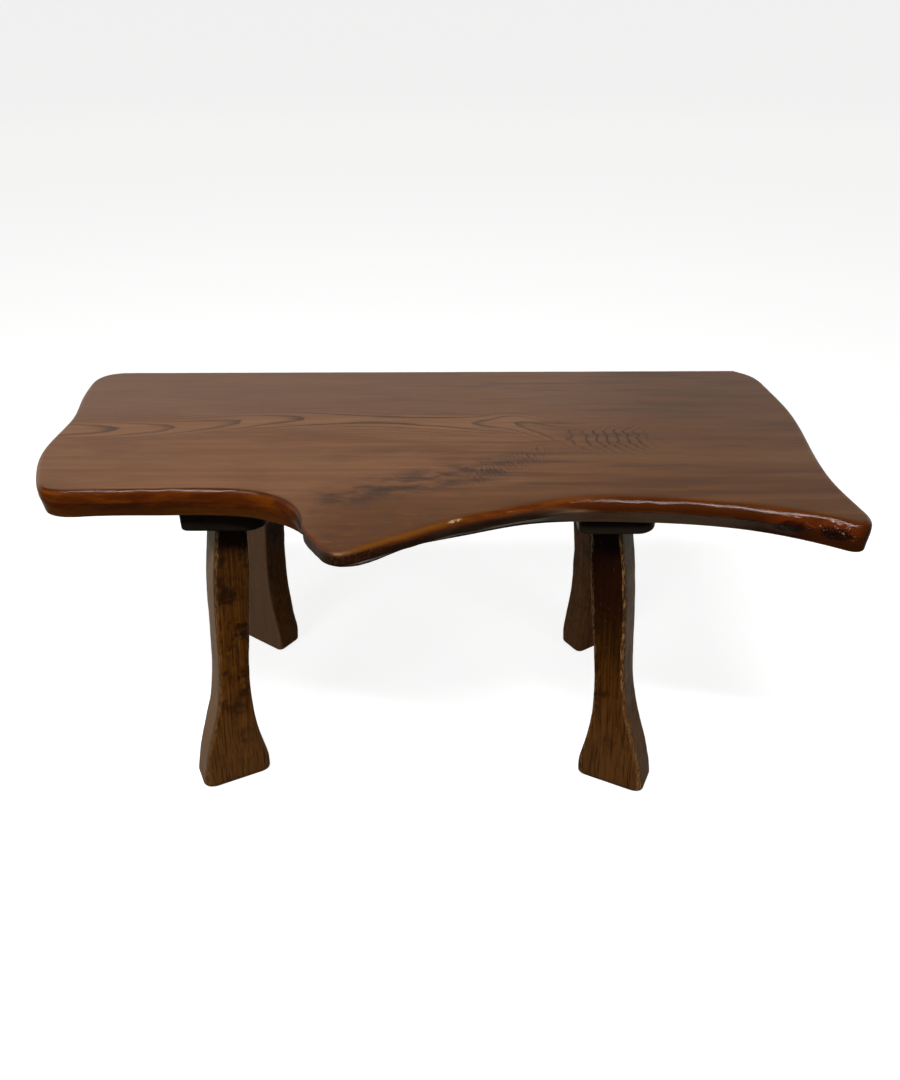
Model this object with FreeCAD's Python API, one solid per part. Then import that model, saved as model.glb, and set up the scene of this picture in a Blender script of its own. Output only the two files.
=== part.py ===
"""Low rustic bench: one thick live-edge board on two battens, with four bandsawn legs.

Millimetres, +Z up, the floor at z = 0 and the middle of the whole bench over the origin. +X runs
along the board, +Y towards its straight back edge. Each leg ends in a round stub tenon that passes
through its batten and is spread there by a wedge. The battens are screwed up into the board.
"""
import FreeCAD, Part
import math
import os
from FreeCAD import Vector

# The board
board_length = 890.0
board_depth = 470.0
board_thickness = 35.0
band_depth = 14.0      # upright part of its edge, above the undercut
lower_ease = 3.0       # rounding where the edge meets the underside

# The two battens under it, with their grain running front to back
batten_spacing = 424.0
batten_shift = -5.0    # middle of the pair, from the board's middle
batten_thickness = 23.0
batten_ease = 2.0
small_corner = 9.0
large_corner = 23.0
batten_width = {"left": 92.0, "right": 85.0}
front_setback = {"left": 5.0, "right": 11.5}   # behind the underside's front rim
rear_setback = {"left": 8.0, "right": 16.0}    # in front of the board's back edge

# The legs: bandsawn from one stock, each turned to point out and away from the middle
leg_height = 376.0     # floor to batten
leg_stock = 41.0
leg_inset = 36.0       # middle of its top, from the end of its batten
leg_ease = 2.5
outer_foot_corner = 11.0
inner_foot_corner = 9.0
foot_rise = 4.0        # its corners stand clear of the floor by this
foot_flat = (14.0, 60.0)   # from where to where it bears on the floor, across its outline
leg_turn = {"front_left": 26.0, "front_right": 26.0, "rear_left": 35.0, "rear_right": 33.0}
leg_offset = {"front_left": 3.5, "front_right": -1.0, "rear_left": 9.5, "rear_right": 11.0}

# The leg's sawn outline: share of the height above its foot's corners, outer edge, inner edge
leg_outline = [
    (0.00, 82.0, -5.0),
    (0.06, 77.0, -4.5),
    (0.15, 68.5, 1.0),
    (0.30, 51.0, 6.0),
    (0.50, 38.5, 2.0),
    (0.75, 31.0, -10.0),
    (1.00, 16.5, -17.0),
]

# Stub tenon, its wedge and the glue line round it
tenon_radius = 12.0
glue_line = 0.1
tenon_short = 0.5      # tenon's end, below the batten's top face
wedge_depth = 18.0
wedge_mouth = 4.0
wedge_point = 1.0

# Countersunk wood screws, from below
screw_length = 45.0
shank_radius = 2.4
core_radius = 1.7
head_radius = 4.8
head_height = 2.6
tip_length = 4.0
slot_width = 1.2
slot_depth = 1.1
screw_fit = 0.1        # round the shank, in the batten
pilot_fit = 0.05       # round the core, in the board
screw_from_leg = 45.0  # outer screws, from the middles of the leg tops
screw_stagger = 17.0   # to each side of the batten's middle line

# The board's edge, counter-clockwise from the left end of its straight back:
# x and y of the widest line, radius of the upper arris, and how far the undercut
# brings the underside's rim in along x and y.
drawn_length = 890.0
drawn_depth = 470.0
board_edge = [
    # sawn left end, with a shallow hollow
    (-413, 227, 5, 0, -1), (-432, 221, 6, 2, -1), (-443, 206, 6, 3, 0), (-445, 181, 6, 3, 0),
    (-439, 130, 6, 3, 0), (-430, 80, 6, 5, 0), (-430, 25, 6, 8, 0), (-428, -26, 6, 11, 1),
    (-417, -66, 6, 8, 2), (-407, -91, 6, 4, 2), (-397, -107, 6, 2, 4),
    # short front on the left, curving out into the tongue
    (-384, -114, 6, 1, 5), (-353, -115.5, 6, 0, 7), (-281, -113.5, 6, 0, 7), (-207, -112.5, 6, 0, 5),
    (-164, -121.5, 6, 1, 4), (-138, -138.5, 6, 4, 4), (-122, -164, 5, 7, 6), (-113, -191, 3, 13, 4),
    # tip of the tongue
    (-97, -217.5, 4, 8, 17), (-88, -229, 6, 6, 24), (-76, -235, 8, 2, 29), (-60, -229.5, 8, -1, 26),
    # long hollow front
    (-11, -202.5, 9, -4, 31), (37, -175.5, 9, -3, 25), (99, -152.5, 10, 0, 25),
    (152, -136.5, 10, 1, 17), (220, -134.5, 10, 0, 14), (285, -141.5, 10, 0, 15),
    (353, -156.5, 10, 0, 13), (409, -178.5, 9, 2, 6),
    # blunt right corner
    (424, -184, 9, 1, 5), (434, -178, 8, 0, 2),
    # sawn right end, swelling towards the back
    (437, -150, 7, -2, 1), (430, -96, 6, -3, 0), (435, -10, 6, -3, 0), (445, 95, 6, -3, 0),
    (441, 174, 6, -3, 0), (431, 218, 6, -3, -1), (413, 235, 5, 0, -1),
]

underside = leg_height + batten_thickness
board_top = underside + board_thickness
stretch_x = board_length / drawn_length
stretch_y = board_depth / drawn_depth


def edge_points():
    """Widest line of the board's edge as points, stretched to its length and depth."""
    return [Vector(x * stretch_x, y * stretch_y, 0) for x, y, *_ in board_edge]


def outward_directions(points):
    """Unit direction out of the board at each edge point; straight back at both ends."""
    back = Vector(0, 1, 0)
    directions = [back]
    for before, after in zip(points, points[2:]):
        along = after - before
        directions.append(Vector(along.y, -along.x, 0).normalize())
    return directions + [back]


def spacing_along(points):
    """Running length at each point, so that every ring is parametrised alike."""
    lengths = [0.0]
    for a, b in zip(points, points[1:]):
        lengths.append(lengths[-1] + a.distanceToPoint(b))
    return lengths


def edge_ring(points, parameters):
    """Closed outline: a smooth line through the points and the straight back edge."""
    curve = Part.BSplineCurve()
    curve.interpolate(Points=points, Parameters=parameters)
    return Part.Wire([curve.toShape(), Part.makeLine(points[-1], points[0])])


def board_rings():
    """Outlines of the board from its flat top, over the arris, down to its underside."""
    points = edge_points()
    outward = outward_directions(points)
    parameters = spacing_along(points)
    rings = []
    for angle in (90, 60, 30, 0):
        rise = 1 - math.sin(math.radians(angle))
        inward = 1 - math.cos(math.radians(angle))
        rings.append([
            p - n * (row[2] * inward) + Vector(0, 0, board_top - row[2] * rise)
            for p, n, row in zip(points, outward, board_edge)
        ])
    rings.append([p + Vector(0, 0, board_top - band_depth) for p in points])
    for lift, inset in ((lower_ease, 0.0), (0.0, lower_ease)):
        rings.append([
            p + Vector(row[3], row[4], underside + lift) - n * inset
            for p, n, row in zip(points, outward, board_edge)
        ])
    return [edge_ring(ring, parameters) for ring in rings]


def front_rim(x):
    """Where the front rim of the board's underside crosses a line running front to back."""
    rim = board_rings()[-1]
    line = Part.makeLine(Vector(x, -board_depth, underside), Vector(x, 0, underside))
    return line.distToShape(rim)[1][0][0].y


def back_edge(x):
    """The y of the board's straight back edge, which runs slightly out of square."""
    points = edge_points()
    left, right = points[0], points[-1]
    return left.y + (right.y - left.y) * (x - left.x) / (right.x - left.x)


def batten_middle(side):
    """The x of a batten's middle line."""
    half = batten_spacing / 2
    return batten_shift + (half if side == "right" else -half)


def batten_span(side):
    """The y of a batten's front end and of its rear end."""
    front = front_rim(batten_middle(side)) + front_setback[side]
    rear = back_edge(batten_middle(side)) - rear_setback[side]
    return front, rear


def screw_places(side):
    """Screws down the middle of a batten, between its legs, staggered about its middle line."""
    front, rear = batten_span(side)
    middle = (front + rear) / 2
    spread = (rear - front) / 2 - leg_inset - screw_from_leg
    x = batten_middle(side)
    return [
        Vector(x + step * screw_stagger, middle + turn * spread, leg_height)
        for turn, step in ((-1, 1), (0, -1), (1, 1))
    ]


def leg_top(corner):
    """Middle of a leg's top, on the underside of its batten."""
    end, side = corner.split("_")
    front, rear = batten_span(side)
    outwards = 1 if side == "right" else -1
    x = batten_middle(side) + outwards * leg_offset[corner]
    y = front + leg_inset if end == "front" else rear - leg_inset
    return Vector(x, y, leg_height)


def leg_bearing(corner):
    """Compass angle, from +X, that a leg points in as it splays."""
    end, side = corner.split("_")
    turn = leg_turn[corner] if end == "rear" else -leg_turn[corner]
    return turn if side == "right" else 180 - turn


def make_screw(place):
    """One countersunk wood screw, head down, its thread shown as a plain core."""
    shank_top = batten_thickness
    point = screw_length
    outline = [
        Vector(0, 0, 0),
        Vector(head_radius, 0, 0),
        Vector(shank_radius, 0, head_height),
        Vector(shank_radius, 0, shank_top),
        Vector(core_radius, 0, shank_top),
        Vector(core_radius, 0, point - tip_length),
        Vector(0, 0, point),
        Vector(0, 0, 0),
    ]
    screw = Part.Face(Part.makePolygon(outline)).revolve(Vector(0, 0, 0), Vector(0, 0, 1), 360)
    slot = Part.makeBox(4 * head_radius, slot_width, slot_depth,
                        Vector(-2 * head_radius, -slot_width / 2, 0))
    screw = screw.cut(slot)
    screw.translate(place)
    return screw


def countersunk_hole(place):
    """Clearance hole for a screw through a batten, with its countersink."""
    head = Part.makeCone(head_radius, shank_radius, head_height, place)
    hole = Part.makeCylinder(shank_radius + screw_fit, batten_thickness, place)
    return head.fuse(hole)


def pilot_hole(place):
    """Hole in the board's underside for a screw's thread."""
    depth = screw_length - batten_thickness
    return Part.makeCylinder(core_radius + pilot_fit, depth, place + Vector(0, 0, batten_thickness))


def make_board():
    """Live-edge board: flat top, rounded arris, undercut edge, pilot holes underneath."""
    board = Part.makeLoft(board_rings(), True, True)
    for side in batten_width:
        for place in screw_places(side):
            board = board.cut(pilot_hole(place))
    return board


def tenon_cylinder(corner, radius, length):
    """Round bar standing on the middle of a leg's top."""
    return Part.makeCylinder(radius, length, leg_top(corner))


def make_wedge(corner):
    """Hardwood wedge across a tenon's end, at right angles to the batten's grain."""
    top = leg_height + batten_thickness - tenon_short
    section = [
        Vector(0, -wedge_point / 2, top - wedge_depth),
        Vector(0, wedge_point / 2, top - wedge_depth),
        Vector(0, wedge_mouth / 2, top),
        Vector(0, -wedge_mouth / 2, top),
    ]
    prism = Part.Face(Part.makePolygon(section + section[:1])).extrude(Vector(4 * tenon_radius, 0, 0))
    prism.translate(Vector(leg_top(corner).x - 2 * tenon_radius, leg_top(corner).y, 0))
    return prism.common(tenon_cylinder(corner, tenon_radius, batten_thickness))


def make_batten(side):
    """Batten with rounded corners, eased lower edges, mortises and screw holes."""
    front, rear = batten_span(side)
    width = batten_width[side]
    left = batten_middle(side) - width / 2
    batten = Part.makeBox(width, rear - front, batten_thickness, Vector(left, front, leg_height))
    for edge in [e for e in batten.Edges if abs(e.tangentAt(0).z) > 0.9]:
        foot = edge.CenterOfMass
        large = foot.y < (front + rear) / 2 and foot.x > left + width / 2
        batten = round_edge_at(batten, foot, large_corner if large else small_corner)
    lower = [e for e in batten.Edges if e.BoundBox.ZMax < leg_height + 0.01]
    batten = batten.makeFillet(batten_ease, lower)
    for corner in leg_turn:
        if corner.endswith(side):
            batten = batten.cut(tenon_cylinder(corner, tenon_radius + glue_line, batten_thickness))
    for place in screw_places(side):
        batten = batten.cut(countersunk_hole(place))
    return batten


def round_edge_at(shape, middle, radius):
    """The shape with the one edge whose middle is given rounded."""
    chosen = [e for e in shape.Edges if e.CenterOfMass.distanceToPoint(middle) < 0.01]
    return shape.makeFillet(radius, chosen)


def sawn_leg():
    """Leg blank in its own frame: the outline in XZ, pointing along +X, centred on y = 0."""
    sawn_height = leg_height - foot_rise
    outer = [Vector(u, 0, foot_rise + share * sawn_height) for share, u, _ in leg_outline]
    inner = [Vector(u, 0, foot_rise + share * sawn_height) for share, _, u in leg_outline]
    sides = []
    for points in (outer, inner):
        curve = Part.BSplineCurve()
        curve.interpolate(Points=points)
        sides.append(curve.toShape())
    bearing = [Vector(u, 0, 0) for u in foot_flat]
    foot = Part.makePolygon([inner[0], *bearing, outer[0]])
    head = Part.makeLine(outer[-1], inner[-1])
    outline = Part.Wire(Part.sortEdges([*foot.Edges, head, *sides])[0])
    blank = Part.Face(outline).extrude(Vector(0, leg_stock, 0))
    blank.translate(Vector(0, -leg_stock / 2, 0))
    blank = round_edge_at(blank, outer[0], outer_foot_corner)
    blank = round_edge_at(blank, inner[0], inner_foot_corner)
    long_edges = [e for e in blank.Edges if e.BoundBox.ZLength > leg_height / 2]
    return blank.makeFillet(leg_ease, long_edges)


def make_leg(corner, wedge):
    """Splayed leg in place, with its stub tenon kerfed for the wedge."""
    leg = sawn_leg()
    leg.rotate(Vector(0, 0, 0), Vector(0, 0, 1), leg_bearing(corner))
    leg.translate(leg_top(corner) - Vector(0, 0, leg_height))
    tenon = tenon_cylinder(corner, tenon_radius, batten_thickness - tenon_short)
    return leg.fuse(tenon).removeSplitter().cut(wedge)


def build():
    """Every named piece of the bench."""
    pieces = {"board": make_board()}
    for side in batten_width:
        pieces["batten_" + side] = make_batten(side)
        screws = [make_screw(place) for place in screw_places(side)]
        pieces["batten_screws_" + side] = Part.makeCompound(screws)
    for corner in leg_turn:
        wedge = make_wedge(corner)
        pieces["leg_" + corner] = make_leg(corner, wedge)
        pieces["tenon_wedge_" + corner] = wedge
    return pieces


os.makedirs("parts", exist_ok=True)
pieces = build()
box = Part.makeCompound(list(pieces.values())).optimalBoundingBox(False, False)
to_origin = Vector(-(box.XMin + box.XMax) / 2, -(box.YMin + box.YMax) / 2, 0)
for name, shape in pieces.items():
    shape.translate(to_origin)
    shape.exportStep("parts/" + name + ".step")
    print(name, len(shape.Solids), shape.isValid(), round(shape.Volume))
print("whole bench", round(box.XLength, 2), round(box.YLength, 2), round(box.ZLength, 2))
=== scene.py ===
"""A low rustic bench: live-edge board, two battens and four bandsawn legs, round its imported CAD."""
import math

import bpy
import numpy as np
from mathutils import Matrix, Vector, noise
from mathutils.geometry import delaunay_2d_cdt


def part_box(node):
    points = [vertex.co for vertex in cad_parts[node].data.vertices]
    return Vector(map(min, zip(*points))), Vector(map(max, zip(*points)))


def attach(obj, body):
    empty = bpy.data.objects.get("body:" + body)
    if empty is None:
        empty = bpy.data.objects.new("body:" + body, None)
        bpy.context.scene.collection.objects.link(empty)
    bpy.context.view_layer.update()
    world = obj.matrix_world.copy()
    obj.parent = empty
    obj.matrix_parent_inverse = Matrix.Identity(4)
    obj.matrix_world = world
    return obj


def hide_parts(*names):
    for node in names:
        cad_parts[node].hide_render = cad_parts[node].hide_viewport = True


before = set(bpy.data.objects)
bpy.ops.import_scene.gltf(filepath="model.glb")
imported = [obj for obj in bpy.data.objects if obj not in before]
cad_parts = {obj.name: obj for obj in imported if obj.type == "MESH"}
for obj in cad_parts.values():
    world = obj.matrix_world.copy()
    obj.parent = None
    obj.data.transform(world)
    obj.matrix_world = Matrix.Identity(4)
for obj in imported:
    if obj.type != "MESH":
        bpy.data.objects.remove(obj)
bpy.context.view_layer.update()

# ---------------------------------------------------------------- the board
# One thick board sawn through and through from a crooked log, its waney front edge kept.
# The back is ripped straight and both ends are cut to easy waves; the top is planed, the
# upper arris rubbed round, and the whole thing is stained brown and varnished.

MM = 0.001
board_low, board_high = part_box("board")
board_middle = Vector(((board_low.x + board_high.x) / 2, (board_low.y + board_high.y) / 2, 0))
board_top = board_high.z
board_thickness = board_high.z - board_low.z
band_depth = 0.014      # upright part of its edge, above the undercut
lower_ease = 0.003      # rounding where the edge meets the underside
edge_step = 2.4         # between points round the waves of the edge, in mm
back_step = 6           # between points along the straight back, in mm
top_grid = 0.009        # between the free points of the top
underside_grid = 0.02   # and of the underside
top_planing = 0.00022   # how far hand planing leaves the top from flat
most_swell = 0.0016     # the bark stands no further out than this

# Round the edge from the left end of the straight back, in mm from the board's middle:
# x, y, radius of the upper arris, and how far the undercut comes in along x and along y.
board_edge = [
    (-413, 227, 5, 0, -1), (-432, 221, 6, 2, -1), (-443, 206, 6, 3, 0), (-445, 181, 6, 3, 0),
    (-439, 130, 6, 3, 0), (-430, 80, 6, 5, 0), (-430, 25, 6, 6, 0), (-428, -26, 6, 7, 1),
    (-417, -66, 6, 5, 2), (-407, -91, 6, 2, 2), (-397, -107, 6, 1, 4),
    (-384, -114, 6, 1, 5), (-353, -115.5, 6, 0, 7), (-281, -113.5, 6, 0, 7), (-207, -112.5, 6, 0, 5),
    (-164, -121.5, 6, 1, 4), (-138, -138.5, 6, 4, 4), (-122, -164, 5, 7, 6), (-113, -191, 3, 13, 4),
    (-97, -217.5, 4, 8, 17), (-88, -229, 4.5, 6, 24), (-76, -235, 4.5, 2, 29), (-60, -229.5, 6, -1, 26),
    (-11, -202.5, 9, -4, 31), (37, -175.5, 9, -3, 25), (99, -152.5, 10, 0, 25),
    (152, -136.5, 10, 1, 17), (220, -134.5, 10, 0, 14), (285, -141.5, 10, 0, 15),
    (353, -156.5, 10, 0, 13), (409, -178.5, 9, 2, 6),
    (424, -184, 9, 1, 5), (434, -178, 8, 0, 2),
    (437, -150, 7, -2, 1), (430, -96, 6, -3, 0), (435, -10, 6, -3, 0), (445, 95, 6, -3, 0),
    (441, 174, 6, -3, 0), (431, 218, 6, -3, -1), (413, 235, 5, 0, -1),
]
first_waney, last_waney = 10, 32     # the places in that list between which the bark edge runs
knot_places = ((365, 17), (403, 16))     # x and depth of two knots in the bark edge, in mm
knot_reaches = (0.010, 0.013)     # and how wide each stands out, in metres
crease_x = -118         # the bark is folded in here, in the notch beside the tongue, in mm


def smooth_rows(rows, spacing):
    """The rows joined by a natural cubic curve and read off again at an even spacing."""
    rows = np.array(rows, float)
    steps = np.hypot(*np.diff(rows[:, :2], axis=0).T)
    at = np.concatenate(([0.0], np.cumsum(steps)))
    count = len(rows)
    system = np.eye(count)
    bend = np.zeros_like(rows)
    for i in range(1, count - 1):
        before, after = steps[i - 1], steps[i]
        system[i, i - 1:i + 2] = before, 2 * (before + after), after
        bend[i] = 6 * ((rows[i + 1] - rows[i]) / after - (rows[i] - rows[i - 1]) / before)
    bend = np.linalg.solve(system, bend)
    wanted = np.linspace(0, at[-1], int(at[-1] / spacing) + 1)
    k = np.clip(np.searchsorted(at, wanted) - 1, 0, count - 2)
    h = steps[k][:, None]
    a = (at[k + 1] - wanted)[:, None]
    b = (wanted - at[k])[:, None]
    read = (bend[k] * a ** 3 + bend[k + 1] * b ** 3) / (6 * h)
    read += (rows[k] / h - bend[k] * h / 6) * a + (rows[k + 1] / h - bend[k + 1] * h / 6) * b
    return read


def step_between(low, high, value):
    """0 below low, 1 above high, and an easy rise between."""
    share = min(max((value - low) / (high - low), 0.0), 1.0)
    return share * share * (3 - 2 * share)


def lumps(place, size):
    """Smooth noise from -1 to 1 at a point, with lumps about this big in metres."""
    return noise.noise(place / size)


def bark_swell(place, depth):
    """How far the waney edge stands out at a point: lumps, a shake, knots and bark marks."""
    swell = 0.0011 * lumps(place, 0.06) + 0.0007 * lumps(place, 0.022)
    swell += 0.00022 * lumps(place, 0.007)
    x = place.x - board_middle.x
    shake = math.exp(-((x - 0.052) / 0.019) ** 2) * math.exp(-((depth - 0.020) / 0.0026) ** 2)
    swell -= 0.0045 * shake
    for (knot_x, knot_depth), reach in zip(knot_places, knot_reaches):
        away = math.hypot(x - knot_x * MM, (depth - knot_depth * MM) * 1.3) / reach
        near = math.exp(-away ** 2)
        swell += near * (0.0008 - 0.0009 * math.cos(7 * away) * near + 0.0010 * lumps(place, 0.006))
    crease = math.exp(-((x - crease_x * MM) / 0.0028) ** 2)
    swell -= 0.003 * crease * step_between(0.002, 0.008, depth)
    tongue = step_between(-0.100, -0.085, x) * step_between(-0.03, -0.05, x)
    swell += 0.0011 * tongue * step_between(0.008, 0.02, depth) * lumps(place, 0.0045)
    return swell


def edge_profile():
    """Steps down the board's edge: inset from the arris line in metres, share of the arris in,
    share of it down, share of the band down, share of the undercut in, share of the lower ease."""
    steps = [(0.0025, 1.0, 0.0, 0.0, 0.0, 0.0), (0.0006, 1.0, 0.0, 0.0, 0.0, 0.0)]
    arris_steps = 12
    for k in range(arris_steps + 1):
        angle = math.radians(80 - 80 * k / arris_steps)
        steps.append((0.0, 1 - math.cos(angle), 1 - math.sin(angle), 0.0, 0.0, 0.0))
    steps += [(0.0, 0.0, 1.0, share, 0.0, 0.0) for share in (0.35, 0.7, 1.0)]
    steps += [(0.0, 0.0, 1.0, 1.0, share, 0.0) for share in (0.08, 0.2, 0.35, 0.5, 0.65, 0.8, 0.92, 1.0)]
    ease_steps = 4
    for k in range(1, ease_steps + 1):
        steps.append((0.0, 0.0, 1.0, 1.0, 1.0, k / ease_steps))
    return steps


def outlined_cap(outline, height, spacing, swell):
    """Inside of a closed outline as triangles, with free points on a grid: points and faces.
    The free points rise from the height by the swell at their place."""
    flat = [Vector((p[0], p[1])) for p in outline]
    lows = np.min([p[:] for p in flat], axis=0)
    highs = np.max([p[:] for p in flat], axis=0)
    edge = np.array([p[:] for p in flat])
    grid = []
    for x in np.arange(lows[0] + spacing, highs[0], spacing):
        for y in np.arange(lows[1] + spacing, highs[1], spacing):
            if np.hypot(edge[:, 0] - x, edge[:, 1] - y).min() > spacing * 0.7:
                grid.append(Vector((x, y)))
    count = len(flat)
    rim = [(i, (i + 1) % count) for i in range(count)]
    points, _, faces, _, _, _ = delaunay_2d_cdt(flat + grid, rim, [], 1, 1e-7)
    heights = [height] * count + [height + swell(p) for p in points[count:]]
    return [Vector((p.x, p.y, z)) for p, z in zip(points, heights)], faces


def board_mesh():
    """The board's points and faces, and at each point how waney it is."""
    rows = smooth_rows(board_edge, edge_step)
    count = len(board_edge)
    numbered = [(x, y, i) for i, (x, y, *_) in enumerate(board_edge)]
    waney_rows = smooth_rows(numbered, edge_step)[:, 2]
    back_steps = int((rows[-1, 0] - rows[0, 0]) / back_step)
    back = [rows[-1] + (rows[0] - rows[-1]) * k / back_steps for k in range(1, back_steps)]
    rows = np.vstack([rows, back])
    waney_rows = np.concatenate([waney_rows, np.full(len(back), float(count))])
    turn = np.roll(rows[:, :2], -1, axis=0) - np.roll(rows[:, :2], 1, axis=0)
    out = np.stack([turn[:, 1], -turn[:, 0]], axis=1)
    out /= np.linalg.norm(out, axis=1)[:, None]
    around = len(rows)
    points, bark = [], []
    profile = edge_profile()
    for inset, arris_in, arris_down, band, undercut, ease in profile:
        for row, normal, place_in_list in zip(rows, out, waney_rows):
            x, y, arris, cut_x, cut_y = row * MM
            depth = arris * arris_down + (max(band_depth, arris) - arris) * band
            depth += (board_thickness - lower_ease - depth) * undercut
            spot = Vector((x, y, 0))
            nicks = 0.0006 * lumps(spot, 0.045) + 0.0003 * lumps(spot, 0.011)
            inward = (arris + nicks) * arris_in + inset
            inward += lower_ease * (1 - math.cos(ease * math.pi / 2))
            depth += lower_ease * math.sin(ease * math.pi / 2)
            x += cut_x * undercut - normal[0] * inward
            y += cut_y * undercut - normal[1] * inward
            place = board_middle + Vector((x, y, board_top - depth))
            waney = step_between(first_waney - 1, first_waney + 0.5, place_in_list)
            waney *= 1 - step_between(last_waney, last_waney + 1.5, place_in_list)
            held = step_between(0.0, 0.6, arris_down) * (1 - ease)
            swell = bark_swell(place, depth) * waney + 0.0003 * lumps(place, 0.05) * (1 - waney)
            swell = min(swell, most_swell) * held
            points.append(place + Vector((normal[0], normal[1], 0)) * swell)
            bark.append(waney * step_between(0.0, 0.10, arris_down))
    faces = []
    for k in range(len(profile) - 1):
        for i in range(around):
            j = (i + 1) % around
            upper, lower = k * around, (k + 1) * around
            faces.append((upper + i, lower + i, lower + j, upper + j))
    for ring, spacing, planing, flip in ((0, top_grid, top_planing, False),
                                         (len(profile) - 1, underside_grid, 0.0, True)):
        rim = points[ring * around:(ring + 1) * around]

        def planed(p):
            return planing * lumps(Vector((p.x, p.y, 0)), 0.07)

        cap, cap_faces = outlined_cap(rim, rim[0].z, spacing, planed)
        start = len(points)
        points += cap[around:]
        bark += [0.0] * (len(cap) - around)
        for face in cap_faces:
            turned = [ring * around + v if v < around else start + v - around for v in face]
            faces.append(turned[::-1] if flip else turned)
    return points, faces, bark


def new_piece(name, points, faces, marks):
    """A shaded mesh object in the frame, with a value per point for each named mark."""
    mesh = bpy.data.meshes.new(name)
    mesh.from_pydata([tuple(p) for p in points], [], [tuple(f) for f in faces])
    mesh.validate()
    mesh.update()
    for mark, values in marks.items():
        kind, field = ("FLOAT", "value") if np.ndim(values) == 1 else ("FLOAT_VECTOR", "vector")
        layer = mesh.attributes.new(mark, kind, "POINT")
        layer.data.foreach_set(field, np.array(values, np.float32).ravel())
    mesh.shade_smooth()
    piece = bpy.data.objects.new(name, mesh)
    bpy.context.scene.collection.objects.link(piece)
    return piece


class Link:
    """A socket of a material. Arithmetic on it adds Math nodes, and node() adds any other node."""

    def __init__(self, tree, socket=None):
        self.tree = tree
        self.socket = socket

    def node(self, kind, settings, sockets, output=0):
        """A new node with its settings made first, then its sockets filled; gives one output."""
        made = self.tree.nodes.new("ShaderNode" + kind)
        for name, value in settings.items():
            if name == "stops":
                ramp = made.color_ramp
                while len(ramp.elements) < len(value):
                    ramp.elements.new(0.5)
                for element, (place, level) in zip(ramp.elements, value):
                    element.position = place
                    element.color = (level, level, level, 1)
            elif name == "ease":
                made.color_ramp.interpolation = value
            else:
                setattr(made, name, value)
        for name, value in sockets.items():
            if isinstance(value, Link):
                self.tree.links.new(value.socket, made.inputs[name])
            else:
                made.inputs[name].default_value = value
        return Link(self.tree, made.outputs[output] if len(made.outputs) else None)

    def math(self, operation, *others):
        return self.node("Math", {"operation": operation}, dict(enumerate((self, *others))))

    def __add__(self, other):
        return self.math("ADD", other)

    def __sub__(self, other):
        return self.math("SUBTRACT", other)

    def __mul__(self, other):
        return self.math("MULTIPLY", other)

    def __truediv__(self, other):
        return self.math("DIVIDE", other)

    def __pow__(self, other):
        return self.math("POWER", other)

    def __rsub__(self, other):
        return self.node("Math", {"operation": "SUBTRACT"}, {0: other, 1: self})

    __radd__ = __add__
    __rmul__ = __mul__

    def rise(self, low, high):
        """0 below low, 1 above high, smooth between."""
        settings = {"interpolation_type": "SMOOTHSTEP"}
        return self.node("MapRange", settings, {"Value": self, "From Min": low, "From Max": high})

    def mix(self, first, second):
        """The first colour where this is 0, the second where it is 1."""
        return self.node("Mix", {"data_type": "RGBA"}, {0: self, 6: first, 7: second}, output=2)

    def part(self, axis):
        """This vector's x, y or z: axis 0, 1 or 2."""
        return self.node("SeparateXYZ", {}, {0: self}, output=axis)

    def spread(self, x, y, z):
        """This vector stretched along each axis."""
        return self.node("VectorMath", {"operation": "MULTIPLY"}, {0: self, 1: (x, y, z)})

    def grain(self, x, y, z, detail=3.0, rough=0.55):
        """Noise from 0 to 1 whose lumps have these sizes, in this vector's units."""
        sockets = {"Vector": self.spread(1 / x, 1 / y, 1 / z), "Detail": detail, "Roughness": rough}
        return self.node("TexNoise", {}, {**sockets, "Scale": 1.0})

    def length(self, other):
        """How far off a spot lies, given how far it lies each way: this and the other."""
        return (self ** 2.0 + other ** 2.0).math("SQRT")


def new_finish(name):
    """An empty material and its first link, for a finish to be built on."""
    finish = bpy.data.materials.new(name)
    finish.use_nodes = True
    finish.node_tree.nodes.clear()
    return finish, Link(finish.node_tree)


def close_finish(start, plain, colour, roughness, coat, height, bump):
    """Ends a finish in one Principled shader, bumped by the height at a strength and a distance."""
    normal = start.node("Bump", {}, {"Height": height, "Strength": bump[0], "Distance": bump[1]})
    varied = {"Base Color": colour, "Roughness": roughness, "Coat Weight": coat, "Normal": normal}
    surface = start.node("BsdfPrincipled", {}, {**plain, **varied})
    start.node("OutputMaterial", {}, {"Surface": surface})


# Stain and varnish on the top, with a painted sheen towards the back
red_brown = (0.152, 0.060, 0.023, 1)
warm_brown = (0.208, 0.090, 0.038, 1)
cloud_brown = (0.116, 0.043, 0.016, 1)
heart_brown = (0.240, 0.110, 0.046, 1)
painted_sheen_brown = (0.152, 0.076, 0.043, 1)
shaded_brown = (0.088, 0.030, 0.006, 1)
glowing_brown = (0.170, 0.078, 0.028, 1)
patch_brown = (0.135, 0.052, 0.016, 1)
deep_brown = (0.058, 0.022, 0.008, 1)
thread_brown = (0.075, 0.030, 0.012, 1)
late_wood = (0.022, 0.009, 0.005, 1)
smoke_brown = (0.026, 0.013, 0.010, 1)
dark_swirl = (0.062, 0.028, 0.020, 1)
light_swirl = (0.170, 0.072, 0.030, 1)
underside_brown = (0.060, 0.026, 0.012, 1)
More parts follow.
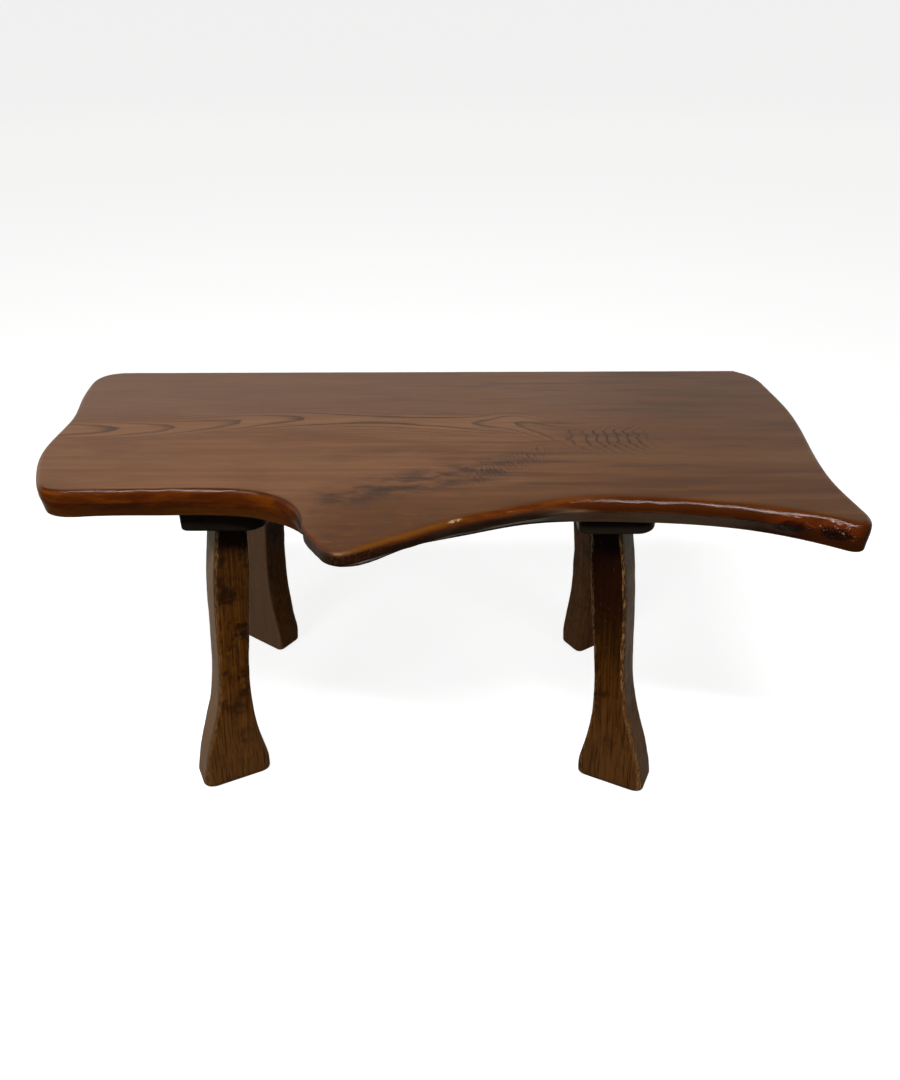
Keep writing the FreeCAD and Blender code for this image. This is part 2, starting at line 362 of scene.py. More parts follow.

# Varnished bark edge, with a painted dark reflection, painted shade and painted glints
deep_amber = (0.072, 0.013, 0.0008, 1)
clear_amber = (0.150, 0.034, 0.002, 1)
arris_painted_dark_reflection = (0.045, 0.011, 0.002, 1)
lower_amber = (0.105, 0.031, 0.004, 1)
right_amber = (0.046, 0.009, 0.001, 1)
far_amber = (0.052, 0.011, 0.001, 1)
ochre_stain = (0.140, 0.053, 0.007, 1)
weathered_dark = (0.004, 0.002, 0.001, 1)
weathered_light = (0.026, 0.015, 0.009, 1)
right_weathered_dark = (0.100, 0.055, 0.030, 1)
right_weathered_light = (0.290, 0.160, 0.085, 1)
facet_grey = (0.050, 0.038, 0.028, 1)
speck_dark = (0.018, 0.005, 0.001, 1)
speck_light = (0.066, 0.023, 0.008, 1)
shake_painted_shade = (0.006, 0.004, 0.003, 1)
crease_painted_shade = (0.010, 0.005, 0.003, 1)
knot_rim = (0.105, 0.017, 0.001, 1)
knot_eye = (0.020, 0.003, 0.001, 1)
painted_glint_white = (0.36, 0.28, 0.24, 1)
chip_cream = (0.38, 0.28, 0.16, 1)

# How deep the heart lies and how far it strays across, by the share of the board's length
heart_stops = [
    (0.0, 0.625), (0.103, 0.6875), (0.17, 0.75), (0.262, 0.8125), (0.34, 0.875), (0.45, 0.917),
    (0.56, 0.875), (0.617, 0.8125), (0.683, 0.75), (0.702, 0.6875), (0.716, 0.625),
    (0.729, 0.5625), (0.742, 0.5), (0.755, 0.4375), (0.768, 0.375), (0.781, 0.3125),
    (0.794, 0.25), (0.85, 0.125), (1.0, 0.0),
]
stray_stops = [
    (0.0, 0.38), (0.103, 0.39), (0.17, 0.45), (0.262, 0.62), (0.34, 0.69), (0.45, 0.66),
    (0.56, 0.57), (0.617, 0.56), (0.683, 0.21), (0.72, 0.19), (1.0, 0.22),
]
ripple_length = 5.6              # between the ripples of the curl, in mm
chip_x = 32                      # a chip in the upper arris, in mm
shake_x, shake_depth = 50, 20    # middle of the painted shade in the shake, in mm


def board_finish():
    """Brown stained, varnished softwood: cathedral figure on top, amber gloss on the bark edge."""
    finish, start = new_finish("stained_board")
    object_place = start.node("TexCoord", {}, {}, output="Object")
    from_middle = start.node("VectorMath", {"operation": "SUBTRACT"},
                             {0: object_place, 1: (board_middle.x, board_middle.y, board_top)})
    place = from_middle.spread(1000, 1000, 1000)
    x, y, z = place.part(0), place.part(1), place.part(2)
    bark = start.node("Attribute", {"attribute_name": "bark"}, {}, output="Fac")

    # The log's rings: how deep the heart lies below the top changes along the board, which
    # draws arches that open to the left on the left and to the right on the right.
    along = (x + 450) / 900
    heart = along.node("ValToRGB", {"ease": "CARDINAL", "stops": heart_stops}, {0: along})
    heart = heart * 16 - 14
    middle_line = along.node("ValToRGB", {"ease": "CARDINAL", "stops": stray_stops}, {0: along})
    middle_line = middle_line * 100
    loops = x.rise(135, 170)
    aside = y - middle_line
    above = aside.rise(-1, 1)
    outside = (aside.math("ABSOLUTE") - loops * 12).math("MAXIMUM", 0.0)
    flatness = 410 - above * 80 + x.rise(50, 130) * 200 - above * loops * 370
    rings = heart + outside * outside / flatness
    wavy = place.grain(200, 24, 60) - 0.5
    rings = rings + wavy * 0.7 + (place.grain(34, 9, 20, 2.0) - 0.5) * (loops * 1.1 + 0.15)
    rings = rings + z / 4.5
    within = rings.math("FRACT")
    ring_number = rings - within
    late = within.rise(0.60, 0.94) * (1 - within.rise(0.955, 1.0))
    uneven = start.node("TexWhiteNoise", {"noise_dimensions": "1D"}, {"W": ring_number})
    figured = (1 - (outside + loops * 6).rise(8, 52)) * (1 - x.rise(242, 268)) * 0.88 + 0.12
    late = late * (uneven * (loops * 0.3 + 0.4) + 0.65) * figured
    late = late * place.grain(70, 16, 20).rise(0.10, 0.36)

    # A curl crosses the grain aslant, where the log bent.
    off_curl = ((y - x * 0.8 + 126) * 0.78).math("ABSOLUTE")
    curl = (1 - off_curl.rise(6, 24)) * x.rise(28, 60) * (1 - x.rise(110, 165))
    ripple = x + y * 0.25 + place.grain(14, 14, 14, 2.0) * 16
    ripple = (ripple * (2 * math.pi / ripple_length)).math("SINE")
    curl = curl * ripple.rise(0.35, 1.0) * place.grain(20, 20, 20).rise(0.3, 0.55)
    late = late.math("MAXIMUM", curl * 0.75)

    # Stain takes unevenly: long streaks, a darker right end and a darker tongue.
    streaks = place.grain(330, 9, 40, 4.0)
    threads = place.grain(60, 1.3, 8, 3.0, 0.6)
    clouds = place.grain(150, 42, 60, 3.0, 0.6)
    shade = (x - y * 0.3).rise(60, 330) * 0.8
    shade = shade + (1 - y.rise(-210, -60)) * x.rise(-150, -60) * 1.3
    colour = streaks.rise(0.3, 0.7).mix(red_brown, warm_brown)
    colour = (clouds.rise(0.42, 0.68) * 0.6).mix(colour, cloud_brown)
    bright = (1 - (outside / 50).rise(0, 1)) * (1 - x.rise(110, 165))
    colour = (bright * (x.rise(-200, 0) * 0.3 + 0.4)).mix(colour, heart_brown)
    # Towards the back the brown turns greyer and lighter: a painted sheen.
    colour = (y.rise(62, 96) * 0.6).mix(colour, painted_sheen_brown)
    colour = shade.math("MINIMUM", 1.0).mix(colour, shaded_brown)
    off_glow = ((y + 45 - x * 0.03) / 34).math("ABSOLUTE")
    glow = (1 - off_glow.rise(0.1, 1)) * x.rise(110, 190)
    colour = (glow * streaks * 0.8).mix(colour, glowing_brown)
    patches = place.grain(190, 15, 40, 4.0, 0.6)
    colour = (patches.rise(0.48, 0.62) * x.rise(-300, 160) * 0.6).mix(colour, patch_brown)
    colour = ((1 - patches.rise(0.36, 0.50)) * x.rise(-200, 120) * 0.6).mix(colour, deep_brown)
    colour = (threads.rise(0.4, 0.75) * 0.3).mix(colour, thread_brown)
    colour = (late * 0.95).mix(colour, late_wood)

    # Smoky patches lie aslant from the tongue up to the curl.
    off_smoke = (y - x * 0.42 + 92).math("ABSOLUTE")
    smoke = (1 - off_smoke.rise(8, 42)) * x.rise(-135, -85) * (1 - x.rise(70, 150))
    smoke = smoke * place.grain(34, 13, 24, 5.0, 0.65).rise(0.40, 0.60)
    colour = (smoke * 0.74).mix(colour, smoke_brown)

    # The fibres swirl round the buttress of the tongue.
    tongue = (1 - y.rise(-175, -125)) * x.rise(-125, -105) * (1 - x.rise(-10, 50))
    swirl = place.grain(26, 8, 20, 5.0, 0.65)
    colour = (tongue * swirl.rise(0.50, 0.64) * 0.65).mix(colour, dark_swirl)
    colour = (tongue * (1 - swirl.rise(0.34, 0.46)) * 0.35).mix(colour, light_swirl)

    # The bark edge keeps an amber glow under thick varnish, darker towards the right.
    blotch = place.grain(45, 20, 9, 4.0, 0.6)
    depth = z * -1
    amber = blotch.rise(0.35, 0.72).mix(deep_amber, clear_amber)
    # A thin darker band along the top of the arris on the left is a painted dark reflection.
    amber = ((1 - depth.rise(0.5, 3.0)) * (1 - x.rise(-130, -90))).mix(amber, arris_painted_dark_reflection)
    amber = (depth.rise(17, 32) * 0.75).mix(amber, lower_amber)
    amber = (x.rise(95, 160) * depth.rise(0.8, 3.5) * 0.85).mix(amber, right_amber)
    amber = (x.rise(150, 240) * 0.5).mix(amber, far_amber)

    # Its undercut and the tongue's sides are weathered and take little varnish.
    fibres = place.grain(46, 24, 2.4, 4.0, 0.65)
    below = depth + (blotch - 0.5) * 7 - x.rise(110, 190) * 9
    under = below.rise(3, 8) * x.rise(-70, -40) * (1 - x.rise(290, 350))
    tip = x.rise(-126, -116) * (1 - x.rise(-76, -52)) * depth.rise(0, 3)
    rough_bark = under.math("MAXIMUM", tip)
    dull = x.rise(-165, -142) * (1 - x.rise(-72, -50))
    weathered = fibres.rise(0.3, 0.7).mix(weathered_dark, weathered_light)
    right_weathered = fibres.mix(right_weathered_dark, right_weathered_light)
    weathered = x.rise(110, 170).mix(weathered, right_weathered)
    weathered = x.rise(-96, -82).mix(facet_grey, weathered)
    amber = (rough_bark * 0.9).mix(amber, weathered)

    # The tongue's tip is burred, with an ochre arris running right from it.
    speckle = place.grain(1.8, 1.8, 1.8, 3.0).rise(0.5, 0.58)
    burr = x.rise(-88, -80) * (1 - x.rise(-50, -20)) * (1 - depth.rise(13, 20)) * depth.rise(1.5, 4)
    amber = (burr * 0.85).mix(amber, speckle.mix(speck_dark, speck_light))
    ochre = x.rise(-84, -72) * (1 - x.rise(10, 60)) * (1 - depth.rise(1.5, 5))
    amber = (ochre * 0.7).mix(amber, ochre_stain)

    # Painted shade darkens the shake and the crease.
    shake = ((x - shake_x) / 26).length((depth - shake_depth) / 3.5) + fibres - 0.5
    amber = (1 - shake.rise(0.6, 1.0)).mix(amber, shake_painted_shade)
    crease = ((x - crease_x) / 3.5).math("ABSOLUTE").rise(0.3, 1.0)
    amber = ((1 - crease) * (1 - y.rise(-150, -130)) * 0.8).mix(amber, crease_painted_shade)
    colour = bark.mix(colour, amber)

    # Two knots have dark eyes, the right one with painted glints, white specks standing in for sparkles
    # of light in its varnish; a chip shows bare wood.
    knots = bark * 0.0
    for knot_x, knot_depth in knot_places:
        away = ((x - knot_x) / 17).length((depth - knot_depth) / 10)
        away = away + place.grain(7, 7, 5, 2.0) * 0.8 - 0.4
        colour = ((1 - away.rise(1.1, 1.8)) * bark * 0.8).mix(colour, knot_rim)
        eye = (1 - away.rise(0.6, 0.95)) * bark
        colour = (eye * 0.95).mix(colour, knot_eye)
        knots = knots.math("MAXIMUM", (1 - away.rise(0.8, 1.4)) * bark)
    painted_glints = knots * place.grain(2.2, 2.2, 2.2, 2.0).rise(0.62, 0.66)
    painted_glints = painted_glints * x.rise(370, 390) * (1 - depth.rise(14, 22))
    colour = (painted_glints * 0.8).mix(colour, painted_glint_white)
    chip_away = ((x - chip_x) / 8).length((depth - 1.6) / 1.2)
    chip = bark * (1 - chip_away.rise(0.6, 1.0)) * place.grain(4, 4, 2).rise(0.38, 0.5)
    colour = (chip * 0.8).mix(colour, chip_cream)
    bottom = depth.rise(34.5, 34.9)
    colour = (bottom * 0.8).mix(colour, underside_brown)

    # Thin varnish on top, thick on the bark, worn off the underside and the weathered parts.
    gloss = place.grain(120, 30, 30, 3.0)
    roughness = gloss * 0.14 + threads * 0.08 + 0.24
    roughness = roughness * (1 - bark) + bark * (blotch * 0.09 + 0.05)
    roughness = roughness + bottom * 0.35
    roughness = roughness + (rough_bark + dull).math("MINIMUM", 1.0) * bark * 0.34
    roughness = roughness - knots * 0.08
    height = threads * 0.35 - late * 0.35 + gloss * 0.5
    height = height + bark * place.grain(5, 5, 3, 5.0, 0.7) * 2.2
    height = height + knots * place.grain(2.4, 2.4, 2.4, 2.0) * 7
    coat = bark * (0.10 - rough_bark * 0.08) + 0.03
    plain = {"IOR": 1.5, "Coat Roughness": 0.12, "Specular IOR Level": 0.46}
    close_finish(start, plain, colour, roughness, coat, height, (0.35, 0.0006))
    return finish


points, faces, bark = board_mesh()
board = new_piece("live_edge_board", points, faces, {"bark": bark})
board.data.materials.append(board_finish())
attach(board, "root")
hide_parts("board")

# ---------------------------------------------------------------- the battens
# Two short boards across the grain of the top, corners rounded and lower edges eased, stained
# nearly black. Each is screwed up into the board and carries one pair of legs.

batten_black = (0.005, 0.002, 0.001, 1)
batten_brown = (0.016, 0.008, 0.004, 1)
batten_blotch = (0.028, 0.015, 0.008, 1)
batten_thread = (0.008, 0.004, 0.003, 1)
batten_shadow = (0.004, 0.003, 0.002, 1)
batten_worn_and_lit = (0.040, 0.029, 0.020, 1)


def batten_finish():
    """Near-black stain, its grain running from front to back, with painted shadow above the lower edge,
    which is paler from wear and painted light, more so on the right.
    """
    finish, start = new_finish("batten_stain")
    place = start.node("TexCoord", {}, {}, output="Object").spread(1000, 1000, 1000)
    streaks = place.grain(7, 160, 9, 4.0)
    threads = place.grain(1.2, 40, 2.5, 3.0)
    blotch = place.grain(40, 70, 20, 3.0)
    colour = streaks.rise(0.3, 0.7).mix(batten_black, batten_brown)
    colour = (blotch.rise(0.45, 0.75) * 0.4).mix(colour, batten_blotch)
    colour = (threads.rise(0.45, 0.8) * 0.5).mix(colour, batten_thread)
    # Above the lower edge the board casts a painted shadow; the lower edge is paler, partly from wear
    # and partly painted light where its rounding catches the lamp, more so on the right.
    rubbed = (1 - place.part(2).rise(381, 388)) * (place.part(0).rise(-100, 100) + 0.15)
    colour = (0.75 - rubbed * 0.75).mix(colour, batten_shadow)
    colour = (rubbed * 0.75).mix(colour, batten_worn_and_lit)
    roughness = blotch * 0.25 + 0.3
    height = threads * 0.6 + streaks * 0.6
    plain = {"IOR": 1.5, "Coat Roughness": 0.2, "Specular IOR Level": 0.22}
    close_finish(start, plain, colour, roughness, 0.0, height, (0.4, 0.0006))
    return finish


def refinish(node, finish):
    """A CAD piece keeps its shape and takes a new finish on every slot."""
    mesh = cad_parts[node].data
    for i in range(len(mesh.materials)):
        mesh.materials[i] = finish


dark_stain = batten_finish()
for side in ("left", "right"):
    refinish("batten_" + side, dark_stain)

# ---------------------------------------------------------------- the legs
# Four legs bandsawn from one pattern out of thick stock: a knee, a waist and a flared foot.
# Their corners were rasped round by hand and have worn through the walnut stain to amber.

leg_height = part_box("batten_left")[0].z
leg_stock = 0.041
foot_rise = 0.004       # the sawn outline is drawn from this height up
foot_layers = 12        # layers of points in the foot, closer together towards the sole
foot_height = 0.016
leg_layers = 150        # and from there to the top
sole_round = 0.005      # rounding of the sole's long edges across the stock
sole_round_height = 0.007
tenon_radius = 0.012
tenon_length = 0.0225
arc_steps, flat_steps = 6, 9     # steps round each worn corner and along each face

# How far and how high each foot's corner is rounded, on its outer (1) and its inner (-1) side
foot_corners = ((0.019, 0.011, 1), (0.012, 0.006, -1))

# Share of the height above the foot's corners, outer edge and inner edge in mm
leg_outline = [
    (0.00, 82.0, -5.0), (0.06, 77.0, -4.5), (0.15, 68.5, 1.0), (0.30, 51.0, 6.0),
    (0.50, 38.5, 2.0), (0.75, 31.0, -10.0), (1.00, 16.5, -17.0),
]

# Which way each leg's outer edge points, in degrees
leg_bearing = {
    "front_left": 180 + 26, "front_right": -26, "rear_left": 180 - 35, "rear_right": 33,
}

# How far each leg's colour goes dark (1) or pale (-1) on broad faces, outer edge and inner edge: the
# pale is painted light and sheen on faces turned to the left, the dark is darker stain deepened towards
# the top by painted shade
leg_stain_and_light_tones = {
    "front_left": (0.0, -0.6, 0.3), "front_right": (1.0, -0.1, 0.5),
    "rear_left": (-0.8, 0.3, 0.3), "rear_right": (-0.2, 0.3, -0.3),
}


def leg_place(corner):
    """The line a leg's tenon stands on, which is the middle of the wedge in it."""
    low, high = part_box("tenon_wedge_" + corner)
    return Vector(((low.x + high.x) / 2, (low.y + high.y) / 2, 0))


def leg_edges(height):
    """Outer and inner edge of the sawn outline at a height, with the foot's corners rounded."""
    share = max((height - foot_rise) / (leg_height - foot_rise), 0.0)
    outer = np.interp(share, leg_curve[:, 0], leg_curve[:, 1]) * MM
    inner = np.interp(share, leg_curve[:, 0], leg_curve[:, 2]) * MM
    for reach, tall, side in foot_corners:
        if height < tall:
            trim = reach * (1 - math.sqrt(1 - (1 - height / tall) ** 2))
            if side > 0:
                outer -= trim
            else:
                inner += trim
    return outer, inner


def natural_curve(rows, count):
    """Rows of (share, a, b) read off a natural cubic curve at even shares."""
    rows = np.array(rows, float)
    lengthened = np.column_stack([rows[:, 0] * 1000, np.zeros(len(rows)), rows[:, 1:]])
    read = smooth_rows(lengthened, 1000 / count)
    return np.column_stack([read[:, 0] / 1000, read[:, 2], read[:, 3]])


leg_curve = natural_curve(leg_outline, 400)


def leg_section(outer, inner, half, radii):
    """Rectangle with a worn corner of its own radius at each corner: points, and wear at each."""
    ring = []
    corners = [(outer, half, 0), (inner, half, 90), (inner, -half, 180), (outer, -half, 270)]
    for (u, v, turn), radius in zip(corners, radii):
        centre_u = u - math.copysign(radius, u - (outer + inner) / 2)
        centre_v = v - math.copysign(radius, v)
        for k in range(arc_steps + 1):
            angle = math.radians(turn + 90 * k / arc_steps)
            ring.append((centre_u + radius * math.cos(angle), centre_v + radius * math.sin(angle)))
    section, wear = [], []
    for c in range(4):
        arc = ring[c * (arc_steps + 1):(c + 1) * (arc_steps + 1)]
        after = ring[((c + 1) % 4) * (arc_steps + 1)]
        section += arc
        wear += [1.0] * len(arc)
        for k in range(1, flat_steps):
            share = k / flat_steps
            section.append(tuple(a + (b - a) * share for a, b in zip(arc[-1], after)))
            wear.append(max(0.0, 1 - min(share, 1 - share) * 9) * 0.7)
    return section, wear


def leg_mesh(corner, seed, tones):
    """A leg's points and faces, and at each point its wear, its place in the plank and its tone."""
    bearing = math.radians(leg_bearing[corner])
    along = Vector((math.cos(bearing), math.sin(bearing), 0))
    across = Vector((-math.sin(bearing), math.cos(bearing), 0))
    foot_turns = [math.pi / 2 * k / foot_layers for k in range(foot_layers)]
    heights = [foot_height * (1 - math.cos(turn)) for turn in foot_turns]
    heights += list(np.linspace(foot_height, leg_height, leg_layers))
    origin = leg_place(corner)
    from_plank_u, from_plank_v = seed * 400, seed * 170
    points, worn, plank, tone = [], [], [], []
    for height in heights:
        outer, inner = leg_edges(height)
        middle = (outer + inner) / 2
        spot = Vector((seed * 3.1, 0, height))
        near_top = step_between(leg_height - 0.012, leg_height, height)
        radii = []
        for c in range(4):
            shifted = spot + Vector((0, c * 5.3, 0))
            radius = 0.0032 + 0.0022 * lumps(shifted, 0.035) + 0.0005 * lumps(shifted, 0.009)
            radius += 0.0045 * step_between(0.035, 0.0, height)
            radii.append(max(0.0012, radius) * (1 - near_top) + 0.0015 * near_top)
        share = 1 - min(height / sole_round_height, 1.0)
        half = leg_stock / 2 - sole_round * (1 - math.sqrt(1 - share ** 2))
        section, wear = leg_section(outer, inner, half, radii)
        for (u, v), rubbed in zip(section, wear):
            place = Vector((u, v + seed, height))
            dent = -0.0004 + 0.00035 * lumps(place, 0.03) + 0.00012 * lumps(place, 0.008)
            inwards = Vector((middle - u, -v, 0)).normalized() * dent
            inwards *= step_between(0.0, 0.01, height) * (1 - near_top)
            flat = along * (u + inwards.x) + across * (v + inwards.y)
            points.append(origin + flat + Vector((0, 0, height)))
            worn.append(rubbed if u > middle else rubbed * 0.8)
            on_edge = tones[1] if u > middle else tones[2]
            broad = step_between(0.70, 0.95, abs(v) / half)
            tone.append(tones[0] * broad + on_edge * (1 - broad))
            plank_u = (u - (outer + inner) * 0.35) * 1000
            plank.append((plank_u + from_plank_u, v * 1000 + from_plank_v, height * 1000))
    around = len(section)
    for rise in (0.0, tenon_length):
        for u, v in section:
            turn = math.atan2(v, u)
            flat = along * tenon_radius * math.cos(turn) + across * tenon_radius * math.sin(turn)
            points.append(origin + flat + Vector((0, 0, leg_height + rise)))
            worn.append(0.0)
            tone.append(0.0)
            plank.append((u * 1000 + from_plank_u, v * 1000 + from_plank_v, leg_height * 1000))
    layers = len(points) // around
    faces = []
    for k in range(layers - 1):
        lower, upper = k * around, (k + 1) * around
        for i in range(around):
            j = (i + 1) % around
            faces.append((lower + i, lower + j, upper + j, upper + i))
    faces.append(tuple(range(around))[::-1])
    faces.append(tuple(range((layers - 1) * around, layers * around)))
    return points, faces, worn, plank, tone


# Walnut stain and what shows through it, with painted light, sheen, highlight and shade
stain_dark = (0.046, 0.014, 0.002, 1)
stain_amber = (0.150, 0.050, 0.006, 1)
stain_blotch = (0.014, 0.004, 0.001, 1)
stain_smear = (0.190, 0.085, 0.016, 1)
foot_amber = (0.158, 0.064, 0.018, 1)
upper_painted_shade_brown = (0.030, 0.012, 0.004, 1)
stain_thread = (0.022, 0.008, 0.002, 1)
stain_and_shade_dark = (0.013, 0.003, 0.001, 1)
painted_light_pale_low = (0.180, 0.105, 0.060, 1)
painted_light_pale_high = (0.310, 0.185, 0.105, 1)
batten_painted_shadow = (0.003, 0.001, 0.001, 1)
worn_brown = (0.150, 0.085, 0.040, 1)
bare_and_highlight_amber = (0.300, 0.150, 0.050, 1)
fleck_amber = (0.200, 0.110, 0.045, 1)


def leg_finish():
    """Walnut stain on sawn timber: vertical streaks, blotches, amber where the arris is worn, and
    painted light, sheen, highlight and shade.
    """
    finish, start = new_finish("leg_stain")
    place = start.node("Attribute", {"attribute_name": "plank"}, {}, output="Vector")
    worn = start.node("Attribute", {"attribute_name": "worn"}, {}, output="Fac")
    z = place.part(2)
    tone = start.node("Attribute", {"attribute_name": "tone"}, {}, output="Fac")
    streaks = place.grain(3, 3, 190, 4.0, 0.6)
    threads = place.grain(1.6, 1.6, 46, 3.0, 0.6)
    blotch = place.grain(24, 24, 34, 3.0, 0.6)
    bands = place.grain(40, 40, 9, 3.0, 0.6)
    scuffs = place.grain(1.1, 1.1, 8, 3.0, 0.6)
    pale = (tone * -1).rise(0, 1)
    colour = streaks.rise(0.32, 0.68).mix(stain_dark, stain_amber)
    colour = (blotch.rise(0.47, 0.60) * bands.rise(0.35, 0.55) * 0.9).mix(colour, stain_blotch)
    smears = place.grain(9, 9, 22, 4.0, 0.7).rise(0.50, 0.66)
    colour = (smears * 0.35).mix(colour, stain_smear)
    low = (1 - z.rise(30, 190)) * (1 - pale)
    colour = (low * 0.65).mix(colour, foot_amber)
    # The upper legs darken towards the knee and above: painted shade under the board.
    colour = (z.rise(200, 320) * 0.45).mix(colour, upper_painted_shade_brown)
    colour = (threads.rise(0.46, 0.66) * 0.75).mix(colour, stain_thread)
    # Darker stain on some faces, deepened towards the top by painted shade.
    colour = (tone.rise(0, 1) * (z.rise(110, 290) * 0.72 + 0.2)).mix(colour, stain_and_shade_dark)
    # Faces turned to the left are made paler: painted light and sheen.
    colour = (pale * 0.85).mix(colour, streaks.mix(painted_light_pale_low, painted_light_pale_high))
    # The top of each leg, under its batten, is painted shadow.
    colour = (z.rise(334, 352) * 0.92).mix(colour, batten_painted_shadow)
    rubbed = worn.rise(0.6, 1.0) * scuffs.rise(0.49, 0.60)
    colour = (worn.rise(0.75, 1.0) * 0.22).mix(colour, worn_brown)
    # Amber where the arris is worn through; the extra given to darker-toned faces, most on the front
    # right leg, is a painted highlight.
    colour = (rubbed * (tone.rise(0, 0.6) * 0.5 + 0.42)).mix(colour, bare_and_highlight_amber)
    flecks = place.grain(1.2, 1.2, 5, 2.0, 0.5).rise(0.68, 0.76) * (1 - low)
    colour = (flecks * 0.5).mix(colour, fleck_amber)
    roughness = blotch * 0.15 + threads * 0.1 + 0.25 + rubbed * 0.05
    height = threads * 0.6 + scuffs * 0.5 + streaks * 0.4
    plain = {"IOR": 1.45, "Coat Roughness": 0.18, "Specular IOR Level": 0.25}
    close_finish(start, plain, colour, roughness, 0.03, height, (0.45, 0.0007))
    return finish


walnut = leg_finish()
for seed, corner in enumerate(leg_bearing):
    points, faces, worn, plank, tone = leg_mesh(corner, seed + 1, leg_stain_and_light_tones[corner])
    marks = {"worn": worn, "plank": plank, "tone": tone}
    leg = new_piece("sawn_leg_" + corner, points, faces, marks)
    leg.data.materials.append(walnut)
    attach(leg, "root")
    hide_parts("leg_" + corner)

# ---------------------------------------------------------------- wedges and screws
# Each leg's stub tenon is spread in its batten by a bare hardwood wedge. Slotted steel wood
# screws hold the battens up to the board; they have dulled to a warm grey.

wedge_brown = (0.30, 0.18, 0.08, 1)
wedge_pale = (0.52, 0.36, 0.19, 1)
steel_grey = (0.30, 0.28, 0.25, 1)
rust_brown = (0.13, 0.07, 0.04, 1)


def wedge_finish():
    """Bare, pale hardwood, its grain down the wedge."""
    finish, start = new_finish("bare_wedge")
    place = start.node("TexCoord", {}, {}, output="Object").spread(1000, 1000, 1000)
    streaks = place.grain(1.5, 1.5, 14, 3.0)
    colour = streaks.mix(wedge_brown, wedge_pale)
    close_finish(start, {"IOR": 1.5}, colour, streaks * 0.2 + 0.5, 0.0, streaks, (0.3, 0.0003))
    return finish


def screw_finish():
    """Old bright steel gone dull, with a little rust in it."""
    finish, start = new_finish("dull_steel")
    place = start.node("TexCoord", {}, {}, output="Object").spread(1000, 1000, 1000)
    tarnish = place.grain(1.4, 1.4, 1.4, 4.0, 0.6)
    colour = tarnish.rise(0.4, 0.65).mix(steel_grey, rust_brown)
    metal = 1 - tarnish.rise(0.5, 0.75) * 0.7
    normal = start.node("Bump", {}, {"Height": tarnish, "Strength": 0.3, "Distance": 0.0002})
    sockets = {"Base Color": colour, "Metallic": metal, "Roughness": tarnish * 0.4 + 0.25}
    surface = start.node("BsdfPrincipled", {}, {**sockets, "Normal": normal})
    start.node("OutputMaterial", {}, {"Surface": surface})
    return finish


pale_wedge = wedge_finish()
for corner in leg_bearing:
    refinish("tenon_wedge_" + corner, pale_wedge)
steel = screw_finish()
for side in ("left", "right"):
    refinish("batten_screws_" + side, steel)

# ---------------------------------------------------------------- floor, light and camera
# A pale seamless floor curves up into a wall all round. A long soft lamp overhead and a little in
# front lights the wood and a narrow strip beside it shines in the varnish, with a fill each side.

floor_radius = 8.0      # flat part
cove_radius = 3.0       # curve from floor to wall
cove_steps = 12
wall_top = 9.0
floor_around = 96


def studio_bowl():
    """A flat floor that curves up into a wall all round, as rings of points from its middle."""
    profile = [(0.001, 0.0), (1.0, 0.0), (3.0, 0.0), (floor_radius, 0.0)]
    for k in range(1, cove_steps + 1):
        angle = math.radians(90 * k / cove_steps)
        reach = floor_radius + cove_radius * math.sin(angle)
        profile.append((reach, cove_radius * (1 - math.cos(angle))))
    profile.append((floor_radius + cove_radius, wall_top))
    points, faces = [], []
    for radius, height in profile:
        for i in range(floor_around):
            turn = 2 * math.pi * i / floor_around
            points.append((radius * math.cos(turn), radius * math.sin(turn), height))
    for k in range(len(profile) - 1):
        near, far = k * floor_around, (k + 1) * floor_around
        for i in range(floor_around):
            j = (i + 1) % floor_around
            faces.append((near + i, far + i, far + j, near + j))
    return points, faces


floor_points, floor_faces = studio_bowl()
floor = new_piece("floor", floor_points, floor_faces, {})
floor_paint, start = new_finish("pale_floor")
paint = {"Base Color": (0.45, 0.45, 0.45, 1), "Roughness": 0.9}
lit = {"Emission Color": (1, 1, 1, 1), "Emission Strength": 0.84}
surface = start.node("BsdfPrincipled", {}, {**paint, **lit})
start.node("OutputMaterial", {}, {"Surface": surface})
floor.data.materials.append(floor_paint)
floor.visible_diffuse = False
floor.visible_glossy = False
floor.visible_shadow = False

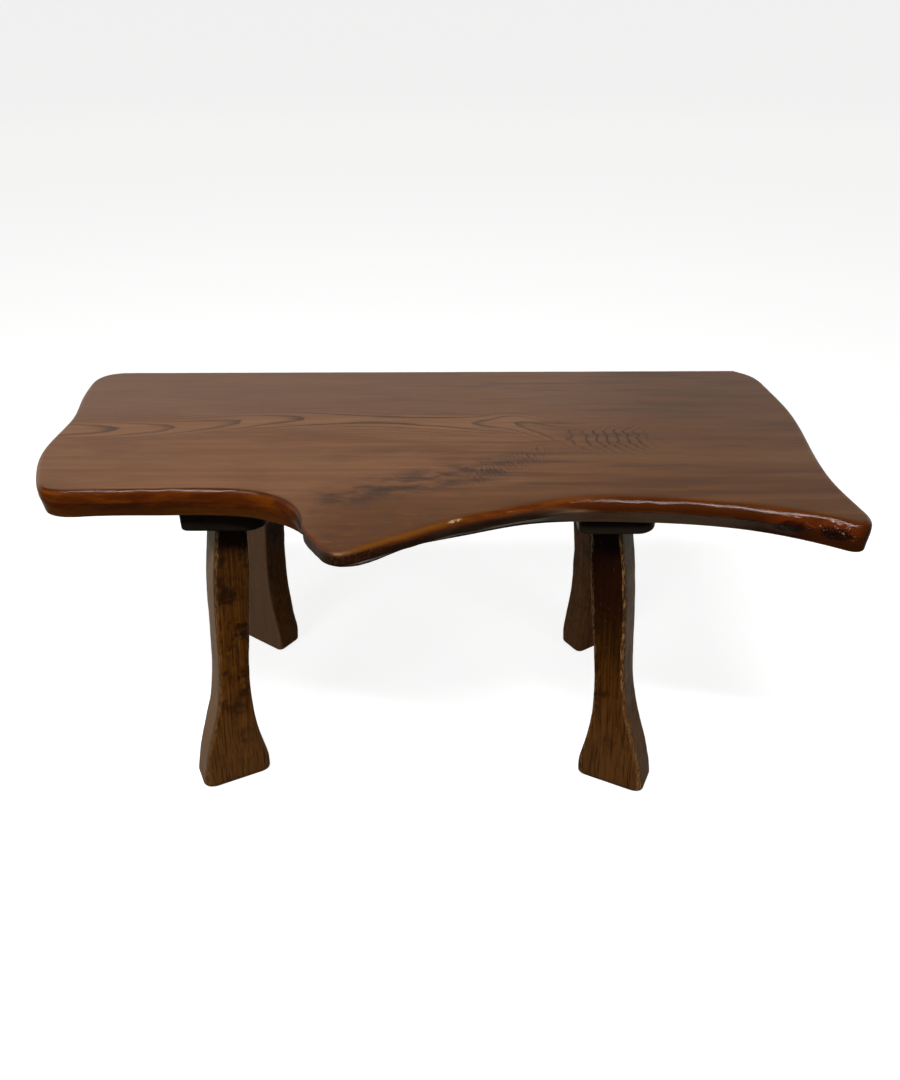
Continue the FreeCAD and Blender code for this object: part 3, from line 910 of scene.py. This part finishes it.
# What the varnish mirrors: a bright wall behind, little in front, and a lit floor behind
world = bpy.data.worlds.new("studio")
bpy.context.scene.world = world
world.use_nodes = True
sky = Link(world.node_tree)
direction = sky.node("TexCoord", {}, {}, output="Generated")
height = direction.part(2)
back = direction.part(1)
wall = back.rise(0.1, 0.7) * (1 - height.rise(0.34, 0.50))
above = height.rise(-0.06, 0.06)
ahead = back.rise(-0.3, 0.5) * 0.05 + 0.04
lit_floor = back.rise(0.2, 0.8) * 0.44 + 0.03
glow = above * (wall * 0.46 + ahead) + (1 - above) * lit_floor
floor_tint = (1.0, 0.90, 0.74, 1)
wall_tint = (1.0, 0.96, 0.90, 1)
tint = above.mix(floor_tint, wall_tint)
background = world.node_tree.nodes["Background"]
world.node_tree.links.new(glow.socket, background.inputs["Strength"])
world.node_tree.links.new(tint.socket, background.inputs["Color"])


def softbox(name, place, aim, width, depth, power, shines):
    """A rectangular lamp aimed at a point. It either lights the wood or shines in the varnish."""
    lamp = bpy.data.lights.new(name, "AREA")
    lamp.shape = "RECTANGLE"
    lamp.size = width
    lamp.size_y = depth
    lamp.energy = power
    light = bpy.data.objects.new(name, lamp)
    light.visible_glossy = shines
    light.visible_diffuse = not shines
    light.location = place
    light.rotation_euler = (Vector(aim) - Vector(place)).to_track_quat("-Z", "Y").to_euler()
    bpy.context.scene.collection.objects.link(light)


at_top = (0, 0, 0.4)
at_legs = (0, 0, 0.2)
softbox("overhead", (-0.3, -1.05, 2.3), at_top, 1.5, 0.16, 52, shines=False)
softbox("strip", (-0.25, -1.05, 2.3), at_top, 1.8, 0.09, 28, shines=True)
softbox("left_fill", (-1.6, -2.2, 1.3), at_legs, 1.2, 1.2, 24, shines=False)
softbox("right_fill", (1.9, -1.6, 1.3), at_legs, 1.0, 1.4, 10, shines=False)

camera_tilt = 31.29     # degrees below level
camera_data = bpy.data.cameras.new("camera")
camera_data.sensor_width = 36
camera_data.lens = 29.33
camera = bpy.data.objects.new("camera", camera_data)
camera.location = (0.0273, -0.9159, 0.8587)
camera.rotation_euler = (math.radians(90 - camera_tilt), 0, 0)
bpy.context.scene.collection.objects.link(camera)
bpy.context.scene.camera = camera
bpy.context.scene.view_settings.view_transform = "Standard"
